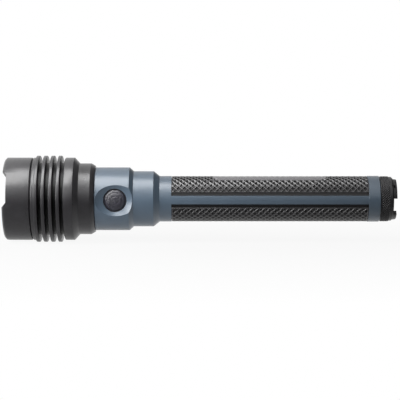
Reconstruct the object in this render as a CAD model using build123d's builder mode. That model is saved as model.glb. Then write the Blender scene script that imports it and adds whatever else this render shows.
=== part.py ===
from build123d import *
from math import asin, degrees, hypot, isclose, radians, sin, sqrt
import os

# A firefighter's hand lamp, in millimetres. Its axis is X: the head points to -X and the tail to +X.
# The switch faces -Y and +Z is up. The origin is on the axis, at the middle of the overall length.
# Sections are stations along X, counted from the face of the lamp. A radius is measured from the axis.

# ---- Sizes: head, outside ----
face_cap_length = 16.8
face_cap_gap = 0.35  # shadow line between the face cap and the head
face_cap_chamfer = 1.2
notch_count = 3
notch_depth = 2.5
notch_floor_angle = 41.0
notch_mouth_angle = 55.0
notch_phase = 161.3  # middle of the notch nearest the switch, about +X from +Y towards +Z
front_land_length = 2.2  # plain land in front of the first fin
front_land_chamfer = 0.6
fin_count = 4
fin_pitch = 4.53
fin_width = 2.15
fin_rise = 1.2  # how far a fin stands above the band behind it
fin_depth = 4.5  # from a fin's rim to the floor between the fins
last_groove_length = 2.01  # behind the rearmost fin
fin_chamfer = 0.25
band_length = 5.8
cone_length = 3.2
neck_length = 7.1
neck_chamfer_length = 2.5
neck_chamfer_drop = 1.54
head_step = 3.56  # from the neck ring out to the band
neck_step = 2.5  # from the barrel's collar out to the neck ring

# ---- Sizes: barrel, outside ----
# Its radii grow outwards from the cell, and its grip is as long as the cells need.
collar_length = 21.25
collar_chamfer_length = 2.55
middle_step = 2.37
middle_length = 12.4
middle_chamfer_length = 3.7
grip_step = 3.01
land_length = 7.3
tail_ring_length = 7.25
tail_ring_rise = 0.09
edge_chamfer = 0.4
rib_width = 5.5
rib_chamfer = 0.35

# ---- Sizes: grip pads ----
grip_wall = 2.56  # metal left between the cell bore and a pad's pocket
pad_depth = 2.0
pad_end_gap = 0.2
pad_border_width = 2.1
pad_border_drop = 1.0
pad_sink = 0.1  # how far the pads lie below the ribs
pad_clearance = 0.05

# ---- Sizes: switch ----
switch_place = 12.7  # from the front of the collar
dish_offset = 0.6
dish_radius = 18.9
dish_depth = 5.0
button_radius = 6.5
button_dome = 1.0
button_travel = 0.8
button_clearance = 0.08
button_flange_rise = 0.37
button_flange_width = 0.8
button_ring_width = 0.57
button_ring_length = 2.5
button_ring_drop = 0.45  # how far the ring lies below the rim of its hole
button_ring_chamfer = 0.12
switch_hole_clearance = 0.05
button_o_ring_wire = 0.45
button_o_ring_fillet = 0.27
switch_wall = 2.14  # metal left between the dish and the bore
switch_board_length = 16.0
switch_board_width = 13.0
tact_size = 6.2
tact_height = 2.9
tact_reserve = 0.15  # left between the tact switch and a pressed button
plunger_radius = 1.6
plunger_end_gap = 0.1
board_thickness = 1.6
carrier_length = 16.0
carrier_clearance = 0.1
carrier_groove_clearance = 0.6

# ---- Sizes: power ----
cell_radius = 9.25
cell_length = 64.0
cell_terminal_radius = 3.2
cell_terminal_length = 1.2
cell_clearance = 0.35
cell_fillet = 0.6
cell_terminal_chamfer = 0.3
cell_count = 2
cell_end_gap = 0.1
contact_gap = 6.0  # from the switch carrier to the contact board
tail_bore_gap = 1.0  # from the last cell to the threaded bore
contact_post_radius = 3.0
contact_post_length = 4.0
tail_spring_radius = 4.6
tail_spring_wire = 0.45
tail_spring_turns = 7
tail_spring_end_gap = 0.02
lead_radius = 0.6
lead_clearance = 0.3
lead_stub = 0.6  # how far a lead stands out of the light source's board
positive_lead_height = -4.0  # towards -Y is up here, so this lead runs below the axis
switch_lead_spacing = 4.0

# ---- Sizes: optics ----
lip_length = 4.2
gasket_thickness = 1.2
gasket_setback = 0.2  # from the lip's bore
lens_thickness = 2.6
lens_overlap = 1.8
lens_clearance = 0.5
lens_chamfer = 0.3
reflector_wall = 1.0
reflector_rim_length = 1.0
reflector_hole_radius = 3.9
reflector_clearance = 0.2
reflector_curve_steps = 8
chamber_clearance = 0.5  # from the reflector's back to the end of the wide bore
centering_ring_length = 1.0
centering_ring_radius = 5.6
led_board_radius = 10.0
led_size = 5.0
led_clearance = 0.1
led_base_height = 0.7
led_dome_radius = 2.2
screw_head_radius = 1.9
screw_head_height = 1.1
screw_radius = 0.95
screw_length = 5.0
screw_clearance = 0.05
screw_circle = 8.0
screw_socket_radius = 0.85
screw_socket_depth = 0.55

# ---- Sizes: heat sink and driver ----
head_wall = 2.3  # metal left between a fin groove and the chamber
heat_sink_length = 8.6
heat_sink_clearance = 0.05
heat_sink_wall = 4.5
driver_pocket_depth = 5.0
driver_ledge = 1.4
driver_ring_length = 1.0
driver_ring_width = 2.7
driver_clearance = 0.15
driver_ring_tool_hole = 0.7
chip_length = 5.0
chip_width = 4.0
chip_height = 1.0
chip_spots = [(3.5, 3.5), (-4.5, -1.0)]
capacitor_length = 3.2
capacitor_width = 1.6
capacitor_height = 1.3
capacitor_spots = [(4.5, -3.0), (4.5, -5.5), (-4.5, 5.0), (-1.0, -5.0)]
inductor_size = 7.0
inductor_corner = 1.0
inductor_height = 3.4
inductor_spot = (-1.0, 0)

# ---- Sizes: screwed joints and seals ----
skirt_wall = 1.43
spigot_wall = 1.6
thread_clearance = 0.1
thread_depth = 0.45
thread_start = 0.4  # from a spigot's end to its first turn
thread_runout = 1.5  # from the last turn to the middle of the seal, at least
face_cap_pitch = 1.0
head_pitch = 1.25
tail_cap_pitch = 1.25
spigot_length = 9.2
barrel_spigot_wall = 4.6
spigot_end_gap = 0.3
o_ring_wire = 0.55
o_ring_squeeze_gap = 0.05
o_ring_side_gap = 0.1
seal_setback = 0.8  # from a seal to the end of the wall that covers it
cut_over = 1.0  # how far a cutting shape runs past what it cuts
groove_over = 0.05  # the same for a shallow groove

# ---- Sizes: tail cap ----
tail_cap_gap = 0.25
tail_neck_length = 0.3
tail_neck_drop = 0.7
tail_band_length = 5.05
tail_band_drop = 0.15
tail_step_length = 1.8
tail_step_drop = 0.6
lobe_length = 2.8
lobe_drop = 1.15
lobe_taper = 0.4
lobe_count = 3
lobe_angle = 70.0
lobe_phase = 141.3  # middle of the lobe nearest the switch
lobe_gap_depth = 2.1
tail_pocket_radius = 9.6
tail_pocket_depth = 3.6
lanyard_hole = 2.0  # across its flats, through each lobe
tail_spigot_length = 10.3
tail_thread_step = 1.0  # from the cell bore out to the tail thread
tail_spigot_wall = 2.2
tail_bore_length = 12.3
tail_contact_thickness = 1.2
tail_contact_clearance = 0.1
tail_contact_rise = 4.7  # how far the spigot's bore runs on into the cap, past its shoulder
tail_retainer_thickness = 1.2
tail_retainer_width = 2.6
tail_retainer_clearance = 0.05

# ---- Worked out: radii of the outside ----
cell_bore_radius = cell_radius + cell_clearance
pad_floor_radius = cell_bore_radius + grip_wall
grip_radius = pad_floor_radius + pad_depth
middle_radius = grip_radius + grip_step
collar_radius = middle_radius + middle_step
tail_ring_radius = grip_radius + tail_ring_rise
neck_radius = collar_radius + neck_step
band_radius = neck_radius + head_step
face_cap_radius = band_radius
fin_radius = band_radius + fin_rise
fin_floor_radius = fin_radius - fin_depth

# ---- Worked out: stations of the outside ----
fins_length = (fin_count - 1) * fin_pitch + fin_width + last_groove_length
cell_pitch = cell_length + cell_terminal_length
collar_to_grip = sum([
    collar_length, collar_chamfer_length, middle_length, middle_chamfer_length, land_length,
])
collar_to_contact_seat = switch_place + carrier_length / 2 + contact_gap + board_thickness
collar_to_tail_bore = sum([
    collar_to_contact_seat, contact_post_length, cell_end_gap, cell_count * cell_pitch, tail_bore_gap,
])
grip_length = collar_to_tail_bore + tail_bore_length - tail_ring_length - collar_to_grip
overall_length = sum([
    face_cap_length, face_cap_gap, front_land_length, fins_length,
    band_length, cone_length, neck_length, neck_chamfer_length,
    collar_to_grip, grip_length, tail_ring_length, tail_cap_gap, tail_neck_length, tail_band_length,
    tail_step_length, lobe_length,
])
x_face = -overall_length / 2
x_face_cap_end = x_face + face_cap_length
x_head = x_face_cap_end + face_cap_gap
x_fins = x_head + front_land_length
x_band = x_fins + fins_length
x_cone = x_band + band_length
x_neck = x_cone + cone_length
x_neck_chamfer = x_neck + neck_length
x_collar = x_neck_chamfer + neck_chamfer_length
x_collar_chamfer = x_collar + collar_length
x_middle = x_collar_chamfer + collar_chamfer_length
x_middle_chamfer = x_middle + middle_length
x_land = x_middle_chamfer + middle_chamfer_length
x_grip = x_land + land_length
x_tail_ring = x_grip + grip_length
x_barrel_end = x_tail_ring + tail_ring_length
x_tail_cap = x_barrel_end + tail_cap_gap
x_tail_band = x_tail_cap + tail_neck_length
x_tail_step = x_tail_band + tail_band_length
x_lobes = x_tail_step + tail_step_length
x_tail = x_lobes + lobe_length
x_switch = x_collar + switch_place

# ---- Worked out: optics, from the face inwards ----
skirt_radius = face_cap_radius - skirt_wall
spigot_radius = skirt_radius - thread_clearance
spigot_bore_radius = spigot_radius - spigot_wall
lens_radius = skirt_radius - lens_clearance
lip_radius = lens_radius - lens_overlap
chamber_radius = fin_floor_radius - head_wall
x_gasket = x_face + lip_length
x_lens = x_gasket + gasket_thickness
x_reflector = x_lens + lens_thickness
x_spigot = x_reflector + reflector_rim_length
x_shoulder = x_collar - spigot_length - spigot_end_gap
x_heat_sink = x_shoulder - heat_sink_length
x_led_board = x_heat_sink - board_thickness
x_centering_ring = x_led_board - centering_ring_length
reflector_depth = x_centering_ring - x_reflector
reflector_mouth_radius = spigot_bore_radius - reflector_clearance - reflector_wall
focal_length = (reflector_mouth_radius**2 - reflector_hole_radius**2) / (4 * reflector_depth)

# ---- Worked out: heat sink, driver and switch ----
heat_sink_radius = chamber_radius - heat_sink_clearance
driver_seat_radius = heat_sink_radius - heat_sink_wall
driver_board_radius = driver_seat_radius - driver_clearance
driver_pocket_radius = driver_seat_radius - driver_ledge
driver_ring_bore = driver_board_radius - driver_ring_width
x_driver_board = x_shoulder - driver_ring_length - board_thickness
x_driver_rear = x_shoulder - driver_ring_length
cavity_radius = collar_radius - dish_depth - switch_wall
barrel_spigot_radius = cavity_radius + barrel_spigot_wall
barrel_socket_radius = barrel_spigot_radius + thread_clearance
dish_floor = collar_radius - dish_depth
switch_hole_radius = button_radius + button_clearance + button_ring_width + switch_hole_clearance
dish_rim_rise = dish_radius - sqrt(dish_radius**2 - switch_hole_radius**2)
h_rim = dish_floor + dish_rim_rise  # heights of the switch are counted from the axis towards -Y
h_ring_bottom = h_rim - button_ring_drop - button_ring_length
h_ring_top = h_ring_bottom + button_ring_length
h_button_under = h_ring_bottom - button_flange_width - o_ring_squeeze_gap
h_tact_top = h_button_under - button_travel - tact_reserve
h_switch_board = h_tact_top - tact_height
h_carrier = h_switch_board - board_thickness

# ---- Worked out: power ----
x_contact_seat = x_collar + collar_to_contact_seat
x_cells = x_contact_seat + contact_post_length + cell_end_gap
x_cells_end = x_cells + cell_count * cell_pitch
x_tail_bore = x_barrel_end - tail_bore_length
x_tail_spigot = x_tail_cap - tail_spigot_length
tail_thread_radius = cell_bore_radius + tail_thread_step
x_contact_board = x_contact_seat - board_thickness
x_pocket_end = x_tail_cap + tail_contact_rise
x_tail_contact = x_pocket_end - tail_contact_thickness
tail_spigot_radius = tail_thread_radius - thread_clearance
tail_spigot_bore = tail_spigot_radius - tail_spigot_wall

os.makedirs("parts", exist_ok=True)


# ---- Helpers ----
def outline(points):
    """A closed face in the XY plane through (station, radius) points."""
    with BuildSketch() as face:
        with BuildLine():
            Polyline(*points, close=True)
        make_face()
    return face.sketch


def ring_outline(x_start, x_end, inner, outer):
    """The section of a plain ring between two stations."""
    return outline([(x_start, inner), (x_end, inner), (x_end, outer), (x_start, outer)])


def sector_outline(x_start, x_end, inner, outer, start_angle):
    """The section of a ring, turned about the axis to the angle where a sector starts."""
    with BuildSketch(Plane.XY.rotated((start_angle, 0, 0))) as face:
        with BuildLine():
            Polyline((x_start, inner), (x_end, inner), (x_end, outer), (x_start, outer), close=True)
        make_face()
    return face.sketch


def thread_grooves(x_end, x_seal, pitch, radius):
    """Cut ring grooves, which stand in for a screw thread, from a spigot's end to its seal."""
    turns = int((x_seal - thread_runout - x_end) / pitch)
    for turn in range(turns):
        x = x_end + thread_start + turn * pitch
        crest = radius + groove_over
        points = [(x, crest), (x + pitch / 2, radius - thread_depth), (x + pitch, crest)]
        revolve(outline(points), axis=Axis.X, mode=Mode.SUBTRACT)


def groove_depth(wire):
    """How deep a groove is cut for a seal of the given wire radius."""
    return 2 * wire + 2 * o_ring_squeeze_gap


def seal_floor(radius):
    """The floor of the seal groove in a spigot of the given radius."""
    return radius - groove_depth(o_ring_wire) + thread_clearance


def seal_groove(x, radius):
    """Cut the groove of a seal into a spigot of the given radius."""
    half_width = o_ring_wire + o_ring_side_gap
    groove = ring_outline(x - half_width, x + half_width, seal_floor(radius), radius + groove_over)
    revolve(groove, axis=Axis.X, mode=Mode.SUBTRACT)


def seal_section(x, radius):
    """The round section of the seal that lies in that groove."""
    with BuildSketch() as face:
        with Locations((x, seal_floor(radius) + o_ring_squeeze_gap + o_ring_wire)):
            Circle(o_ring_wire)
    return face.sketch


def facing_switch(height):
    """The plane that looks out through the switch, at a height above the axis. Its x runs to +X."""
    return Plane(origin=(x_switch, -height, 0), x_dir=(1, 0, 0), z_dir=(0, -1, 0))


def save(part, label):
    part.label = label
    export_step(part, f"parts/{label}.step")
    print(label, round(part.volume))


def paraboloid(x_start, radius_start, extra):
    """Points of the reflector's curve from its mouth to its hole, made larger by a wall."""
    points = []
    for step in range(reflector_curve_steps + 1):
        share = step / reflector_curve_steps
        radius = radius_start + (reflector_hole_radius - radius_start) * share
        depth = (radius_start**2 - radius**2) / (4 * focal_length)
        points.append((x_start + depth, radius + extra))
    return points


# ---- Face cap: a notched ring that clamps the lens ----
cap_outline = [
    (x_face, lip_radius + face_cap_chamfer),
    (x_face, face_cap_radius - face_cap_chamfer),
    (x_face + face_cap_chamfer, face_cap_radius),
    (x_face_cap_end - edge_chamfer, face_cap_radius),
    (x_face_cap_end, face_cap_radius - edge_chamfer),
    (x_face_cap_end, skirt_radius),
    (x_gasket, skirt_radius),
    (x_gasket, lip_radius),
    (x_face + face_cap_chamfer, lip_radius),
]
notch_half_floor = face_cap_radius * sin(radians(notch_floor_angle / 2))
notch_half_mouth = face_cap_radius * sin(radians(notch_mouth_angle / 2))
with BuildPart() as face_cap:
    revolve(outline(cap_outline), axis=Axis.X)
    for notch in range(notch_count):
        middle = notch_phase + notch * 360 / notch_count
        cut_plane = Plane.XY.rotated((middle, 0, 0))
        side_plane = Plane(origin=(0, 0, 0), x_dir=(1, 0, 0), z_dir=cut_plane.y_dir)
        with BuildSketch(side_plane):
            with BuildLine():
                Polyline(
                    (x_face - cut_over, -notch_half_mouth - cut_over),
                    (x_face, -notch_half_mouth),
                    (x_face + notch_depth, -notch_half_floor),
                    (x_face + notch_depth, notch_half_floor),
                    (x_face, notch_half_mouth),
                    (x_face - cut_over, notch_half_mouth + cut_over),
                    close=True,
                )
            make_face()
        extrude(amount=face_cap_radius + cut_over, mode=Mode.SUBTRACT)
save(face_cap.part, "face_cap")

with BuildPart() as lens_gasket:
    gasket_bore = lip_radius + gasket_setback
    revolve(ring_outline(x_gasket, x_lens, gasket_bore, lens_radius), axis=Axis.X)
save(lens_gasket.part, "lens_gasket")

with BuildPart() as lens:
    with BuildSketch(Plane.YZ.offset(x_lens)):
        Circle(lens_radius)
    extrude(amount=lens_thickness)
    chamfer(lens.edges().filter_by(GeomType.CIRCLE), lens_chamfer)
save(lens.part, "lens")

# ---- Reflector: a paraboloid with a rim that sits on the head's spigot ----
inner_curve = paraboloid(x_reflector, reflector_mouth_radius, 0)
outer_curve = paraboloid(x_reflector, reflector_mouth_radius, reflector_wall)
with BuildPart() as reflector:
    with BuildSketch():
        with BuildLine():
            Spline(*inner_curve)
            Line(inner_curve[-1], outer_curve[-1])
            Spline(*outer_curve)
            Line(outer_curve[0], inner_curve[0])
        make_face()
    revolve(axis=Axis.X)
    rim_inner = reflector_mouth_radius + reflector_wall / 2
    revolve(ring_outline(x_reflector, x_spigot, rim_inner, lens_radius), axis=Axis.X)
save(reflector.part, "reflector")

# ---- Head housing: spigot, finned body, cone and neck ring in one piece ----
chamber_ratio = (chamber_radius - reflector_clearance - reflector_wall) / reflector_mouth_radius
chamber_depth = (1 - chamber_ratio**2) * reflector_mouth_radius**2 / (4 * focal_length)
x_chamber = x_reflector + chamber_depth + chamber_clearance
head_outline = [
    (x_spigot, spigot_bore_radius),
    (x_spigot, spigot_radius),
    (x_head, spigot_radius),
    (x_head, band_radius - front_land_chamfer),
    (x_head + front_land_chamfer, band_radius),
]
for fin in range(fin_count):
    x_fin = x_fins + fin * fin_pitch
    head_outline += [
        (x_fin, band_radius if fin == 0 else fin_floor_radius),
        (x_fin, fin_radius - fin_chamfer),
        (x_fin + fin_chamfer, fin_radius),
        (x_fin + fin_width - fin_chamfer, fin_radius),
        (x_fin + fin_width, fin_radius - fin_chamfer),
        (x_fin + fin_width, fin_floor_radius),
    ]
head_outline += [
    (x_band, fin_floor_radius),
    (x_band, band_radius - edge_chamfer),
    (x_band + edge_chamfer, band_radius),
    (x_cone, band_radius),
    (x_neck, neck_radius),
    (x_neck_chamfer, neck_radius),
    (x_collar, neck_radius - neck_chamfer_drop),
    (x_collar, barrel_socket_radius),
    (x_shoulder, barrel_socket_radius),
    (x_shoulder, chamber_radius),
    (x_chamber, chamber_radius),
    (x_chamber, spigot_bore_radius),
]
x_face_o_ring = x_face_cap_end - seal_setback - 2 * o_ring_wire
with BuildPart() as head_housing:
    revolve(outline(head_outline), axis=Axis.X)
    thread_grooves(x_spigot, x_face_o_ring, face_cap_pitch, spigot_radius)
    seal_groove(x_face_o_ring, spigot_radius)
save(head_housing.part, "head_housing")

with BuildPart() as face_cap_o_ring:
    revolve(seal_section(x_face_o_ring, spigot_radius), axis=Axis.X)
save(face_cap_o_ring.part, "face_cap_o_ring")

# ---- Light source: centering ring, board, emitter and its two screws ----
lead_hole_radius = lead_radius + lead_clearance
lead_spots = [(0, screw_circle), (0, -screw_circle)]
screw_spots = [(screw_circle, 0), (-screw_circle, 0)]
with BuildPart() as led_centering_ring:
    ring_bore = led_size / 2 * sqrt(2) + led_clearance
    revolve(ring_outline(x_centering_ring, x_led_board, ring_bore, centering_ring_radius), axis=Axis.X)
save(led_centering_ring.part, "led_centering_ring")

with BuildPart() as led_board:
    with BuildSketch(Plane.YZ.offset(x_led_board)):
        Circle(led_board_radius)
        with Locations(*lead_spots):
            Circle(lead_hole_radius, mode=Mode.SUBTRACT)
        with Locations(*screw_spots):
            Circle(screw_radius + screw_clearance, mode=Mode.SUBTRACT)
    extrude(amount=board_thickness)
save(led_board.part, "led_board")

x_led_top = x_led_board - led_base_height
with BuildPart() as led_base:
    with BuildSketch(Plane.YZ.offset(x_led_top)):
        Rectangle(led_size, led_size)
    extrude(amount=led_base_height)
save(led_base.part, "led_base")

with BuildPart() as led_dome:
    with BuildSketch():
        with BuildLine():
            Line((x_led_top, 0), (x_led_top, led_dome_radius))
            CenterArc((x_led_top, 0), led_dome_radius, 90, 90)
            Line((x_led_top - led_dome_radius, 0), (x_led_top, 0))
        make_face()
    revolve(axis=Axis.X)
save(led_dome.part, "led_dome")

with BuildPart() as led_board_screws:
    with BuildSketch(Plane.YZ.offset(x_led_board - screw_head_height)):
        with Locations(*screw_spots):
            Circle(screw_head_radius)
    extrude(amount=screw_head_height)
    with BuildSketch(Plane.YZ.offset(x_led_board - screw_head_height)):
        with Locations(*screw_spots):
            Circle(screw_radius)
    extrude(amount=screw_head_height + screw_length)
    with BuildSketch(Plane.YZ.offset(x_led_board - screw_head_height)):
        with Locations(*screw_spots):
            RegularPolygon(screw_socket_radius, 6)
    extrude(amount=screw_socket_depth, mode=Mode.SUBTRACT)
save(led_board_screws.part, "led_board_screws")

# ---- Heat sink: a plug that carries the light source in front and the driver behind ----
with BuildPart() as heat_sink:
    revolve(outline([
        (x_heat_sink, 0),
        (x_heat_sink, heat_sink_radius),
        (x_shoulder, heat_sink_radius),
        (x_shoulder, driver_seat_radius),
        (x_driver_board, driver_seat_radius),
        (x_driver_board, driver_pocket_radius),
        (x_shoulder - driver_pocket_depth, driver_pocket_radius),
        (x_shoulder - driver_pocket_depth, 0),
    ]), axis=Axis.X)
    with BuildSketch(Plane.YZ.offset(x_heat_sink)):
        with Locations(*lead_spots):
            Circle(lead_hole_radius)
        with Locations(*screw_spots):
            Circle(screw_radius + screw_clearance)
    extrude(amount=heat_sink_length, mode=Mode.SUBTRACT)
save(heat_sink.part, "heat_sink")

with BuildPart() as led_leads:
    with BuildSketch(Plane.YZ.offset(x_led_board - lead_stub)):
        with Locations(*lead_spots):
            Circle(lead_radius)
    extrude(amount=lead_stub + x_driver_board - x_led_board)
save(led_leads.part, "led_leads")

# ---- Driver: round board, its parts and the ring that holds it ----
with BuildPart() as driver_board:
    with BuildSketch(Plane.YZ.offset(x_driver_board)):
        Circle(driver_board_radius)
    extrude(amount=board_thickness)
save(driver_board.part, "driver_board")

with BuildPart() as driver_chips:
    with BuildSketch(Plane.YZ.offset(x_driver_board - chip_height)):
        with Locations(*chip_spots):
            Rectangle(chip_length, chip_width)
    extrude(amount=chip_height)
save(driver_chips.part, "driver_chips")

with BuildPart() as driver_capacitors:
    with BuildSketch(Plane.YZ.offset(x_driver_board - capacitor_height)):
        with Locations(*capacitor_spots):
            Rectangle(capacitor_length, capacitor_width)
    extrude(amount=capacitor_height)
save(driver_capacitors.part, "driver_capacitors")

with BuildPart() as driver_inductor:
    with BuildSketch(Plane.YZ.offset(x_driver_rear)):
        with Locations(inductor_spot):
            RectangleRounded(inductor_size, inductor_size, inductor_corner)
    extrude(amount=inductor_height)
save(driver_inductor.part, "driver_inductor")

with BuildPart() as driver_retaining_ring:
    ring_points = ring_outline(x_driver_rear, x_shoulder, driver_ring_bore, driver_board_radius)
    revolve(ring_points, axis=Axis.X)
    with BuildSketch(Plane.YZ.offset(x_shoulder)):
        with PolarLocations((driver_ring_bore + driver_board_radius) / 2, 2):
            Circle(driver_ring_tool_hole)
    extrude(amount=-driver_ring_length, mode=Mode.SUBTRACT)
save(driver_retaining_ring.part, "driver_retaining_ring")

# ---- Barrel: stepped tube with a switch dish, two ribs and pockets for the pads ----
x_barrel_spigot = x_collar - spigot_length
barrel_outline = [
    (x_barrel_spigot, cavity_radius),
    (x_barrel_spigot, barrel_spigot_radius),
    (x_collar, barrel_spigot_radius),
    (x_collar, collar_radius - edge_chamfer),
    (x_collar + edge_chamfer, collar_radius),
    (x_collar_chamfer, collar_radius),
    (x_middle, middle_radius),
    (x_middle_chamfer, middle_radius),
    (x_land, grip_radius),
    (x_tail_ring, grip_radius),
    (x_tail_ring + tail_ring_rise, tail_ring_radius),
    (x_barrel_end - edge_chamfer, tail_ring_radius),
    (x_barrel_end, tail_ring_radius - edge_chamfer),
    (x_barrel_end, tail_thread_radius + edge_chamfer),
    (x_barrel_end - edge_chamfer, tail_thread_radius),
    (x_tail_bore, tail_thread_radius),
    (x_tail_bore, cell_bore_radius),
    (x_contact_seat, cell_bore_radius),
    (x_contact_seat, cavity_radius),
]
rib_half_angle = degrees(asin(rib_width / 2 / grip_radius))
pad_angle = 180 - 2 * rib_half_angle
pad_starts = {"grip_pad_top": rib_half_angle, "grip_pad_bottom": 180 + rib_half_angle}
x_head_o_ring = x_collar - seal_setback - 2 * o_ring_wire
dish_centre_height = dish_floor + dish_radius
with BuildPart() as barrel:
    revolve(outline(barrel_outline), axis=Axis.X)
    for start in pad_starts.values():
        pocket_top = grip_radius + cut_over
        pocket = sector_outline(x_grip, x_tail_ring, pad_floor_radius, pocket_top, start)
        revolve(pocket, axis=Axis.X, revolution_arc=pad_angle, mode=Mode.SUBTRACT)
    rib_edges = barrel.edges().filter_by(Axis.X).filter_by(
        lambda edge: isclose(hypot(edge.center().Y, edge.center().Z), grip_radius, abs_tol=0.01)
    )
    chamfer(rib_edges, rib_chamfer)
    with Locations((x_switch + dish_offset, -dish_centre_height, 0)):
        Sphere(dish_radius, mode=Mode.SUBTRACT)
    with BuildSketch(facing_switch(0)):
        Circle(switch_hole_radius)
    extrude(amount=collar_radius, mode=Mode.SUBTRACT)
    thread_grooves(x_barrel_spigot, x_head_o_ring, head_pitch, barrel_spigot_radius)
    seal_groove(x_head_o_ring, barrel_spigot_radius)
save(barrel.part, "barrel")

with BuildPart() as head_o_ring:
    revolve(seal_section(x_head_o_ring, barrel_spigot_radius), axis=Axis.X)
save(head_o_ring.part, "head_o_ring")

# ---- Grip pads: rubber shells in the pockets, each with a thin border along the ribs ----
pad_radius = grip_radius - pad_sink
border_radius = pad_radius - pad_border_drop
border_angle = degrees(pad_border_width / grip_radius)
pad_gap_angle = degrees(pad_clearance / pad_floor_radius)
for pad_name, start in pad_starts.items():
    with BuildPart() as grip_pad:
        x_pad_start = x_grip + pad_end_gap
        x_pad_end = x_tail_ring - pad_end_gap
        pad_base = pad_floor_radius + pad_clearance
        base = sector_outline(x_pad_start, x_pad_end, pad_base, border_radius, start + pad_gap_angle)
        revolve(base, axis=Axis.X, revolution_arc=pad_angle - 2 * pad_gap_angle)
        crown = sector_outline(x_pad_start, x_pad_end, border_radius, pad_radius, start + border_angle)
        revolve(crown, axis=Axis.X, revolution_arc=pad_angle - 2 * border_angle)
    save(grip_pad.part, pad_name)

# ---- Switch: button, seal, retaining ring, tact switch, board and carrier ----
ring_bore_radius = button_radius + button_clearance
ring_outer_radius = ring_bore_radius + button_ring_width
button_flange_radius = button_radius + button_flange_rise
dome_radius = (button_radius**2 + button_dome**2) / (2 * button_dome)
h_dome_middle = h_rim + button_dome - dome_radius + sqrt(dome_radius**2 - button_radius**2 / 4)
h_button_groove = (h_ring_bottom + h_ring_top) / 2
h_groove_bottom = h_button_groove - button_o_ring_wire - o_ring_side_gap
h_groove_top = h_button_groove + button_o_ring_wire + o_ring_side_gap
button_groove_floor = button_radius - groove_depth(button_o_ring_wire) + button_clearance
with BuildPart() as switch_button:
    with BuildSketch(Plane.XY):
        with BuildLine():
            Polyline(
                (0, h_button_under), (button_flange_radius, h_button_under),
                (button_flange_radius, h_button_under + button_flange_width),
                (button_radius, h_button_under + button_flange_width),
                (button_radius, h_groove_bottom),
                (button_groove_floor, h_groove_bottom),
                (button_groove_floor, h_groove_top),
                (button_radius, h_groove_top),
                (button_radius, h_rim),
            )
            ThreePointArc(
                (button_radius, h_rim),
                (button_radius / 2, h_dome_middle),
                (0, h_rim + button_dome),
            )
            Line((0, h_rim + button_dome), (0, h_button_under))
        make_face()
    revolve(axis=Axis.Y)
switch_pose = Location((x_switch, 0, 0), (180, 0, 0))
save(switch_button.part.moved(switch_pose), "switch_button")

with BuildPart() as button_o_ring:
    with BuildSketch(facing_switch(h_button_groove)):
        Circle(button_groove_floor + o_ring_squeeze_gap + 2 * button_o_ring_wire)
        Circle(button_groove_floor + o_ring_squeeze_gap, mode=Mode.SUBTRACT)
    extrude(amount=button_o_ring_wire, both=True)
    fillet(button_o_ring.edges(), button_o_ring_fillet)
save(button_o_ring.part, "button_o_ring")

with BuildPart() as switch_retaining_ring:
    with BuildSketch(facing_switch(h_ring_bottom)):
        Circle(ring_outer_radius)
        Circle(ring_bore_radius, mode=Mode.SUBTRACT)
    extrude(amount=button_ring_length)
    chamfer(switch_retaining_ring.edges().group_by(Axis.Y)[0], button_ring_chamfer)
save(switch_retaining_ring.part, "switch_retaining_ring")

plunger_depth = 2 * button_travel
with BuildPart() as tact_plunger:
    with BuildSketch(facing_switch(h_tact_top - plunger_depth / 2)):
        Circle(plunger_radius)
    extrude(amount=h_button_under - h_tact_top + plunger_depth / 2)
save(tact_plunger.part, "tact_plunger")

with BuildPart() as tact_switch:
    with BuildSketch(facing_switch(h_switch_board)):
        Rectangle(tact_size, tact_size)
    extrude(amount=tact_height)
    with BuildSketch(facing_switch(h_tact_top)):
        Circle(plunger_radius + switch_hole_clearance)
    well_depth = plunger_depth / 2 + button_travel + plunger_end_gap
    extrude(amount=-well_depth, mode=Mode.SUBTRACT)
save(tact_switch.part, "tact_switch")

with BuildPart() as switch_board:
    with BuildSketch(facing_switch(h_carrier)):
        Rectangle(switch_board_length, switch_board_width)
    extrude(amount=board_thickness)
save(switch_board.part, "switch_board")

with BuildPart() as switch_carrier:
    with BuildSketch(Plane.YZ.offset(x_switch - carrier_length / 2)):
        Circle(cavity_radius - carrier_clearance)
        with Locations((-h_carrier - cavity_radius, 0)):
            Rectangle(2 * cavity_radius, 2 * cavity_radius, mode=Mode.SUBTRACT)
        with Locations((-positive_lead_height, 0)):
            Circle(lead_radius + carrier_groove_clearance, mode=Mode.SUBTRACT)
    extrude(amount=carrier_length)
save(switch_carrier.part, "switch_carrier")

x_switch_board_front = x_switch - switch_board_length / 2
with BuildPart() as switch_leads:
    with BuildSketch(Plane.YZ.offset(x_driver_rear)):
        with Locations((-h_carrier - board_thickness / 2, 0)):
            with GridLocations(0, switch_lead_spacing, 1, 2):
                Circle(lead_radius)
    extrude(amount=x_switch_board_front - x_driver_rear)
save(switch_leads.part, "switch_leads")

# ---- Power path: contact board, post, lead and the two cells ----
with BuildPart() as contact_board:
    with BuildSketch(Plane.YZ.offset(x_contact_board)):
        Circle(cavity_radius - carrier_clearance)
    extrude(amount=board_thickness)
save(contact_board.part, "contact_board")

with BuildPart() as contact_post:
    with BuildSketch(Plane.YZ.offset(x_contact_seat)):
        Circle(contact_post_radius)
    extrude(amount=contact_post_length)
    chamfer(contact_post.edges().group_by(Axis.X)[-1], edge_chamfer)
save(contact_post.part, "contact_post")

with BuildPart() as positive_lead:
    with BuildSketch(Plane.YZ.offset(x_driver_rear)):
        with Locations((-positive_lead_height, 0)):
            Circle(lead_radius)
    extrude(amount=x_contact_board - x_driver_rear)
save(positive_lead.part, "positive_lead")

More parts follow.
